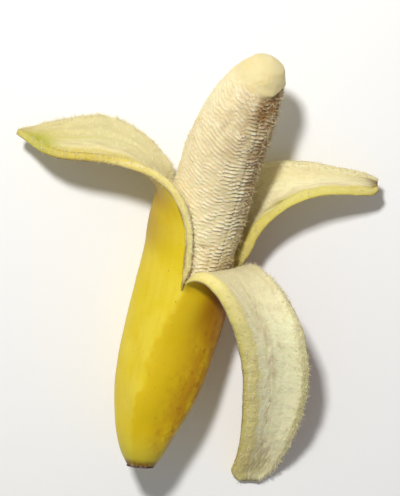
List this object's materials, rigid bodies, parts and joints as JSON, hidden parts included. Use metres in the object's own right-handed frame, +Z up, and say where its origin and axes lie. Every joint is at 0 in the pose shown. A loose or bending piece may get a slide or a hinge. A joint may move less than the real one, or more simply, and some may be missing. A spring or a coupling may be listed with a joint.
{
  "type": "peeled banana",
  "caption": "Ripe banana lying on its rounded back, peel split into strips that fold away from the bare flesh.",
  "frame": {"origin": "middle of the footprint, on the surface that the banana lies on", "axes": "+Y towards the bare tip, the longest way; +Z up, the shortest way; +X towards the folded-over strip"},
  "size_m": [0.1394, 0.1762, 0.049],
  "materials": {
    "peel": "satin",
    "flesh": "matte"
  },
  "bodies": {
    "root": {"peel": "peel", "flesh": "flesh"}
  },
  "joints": []
}
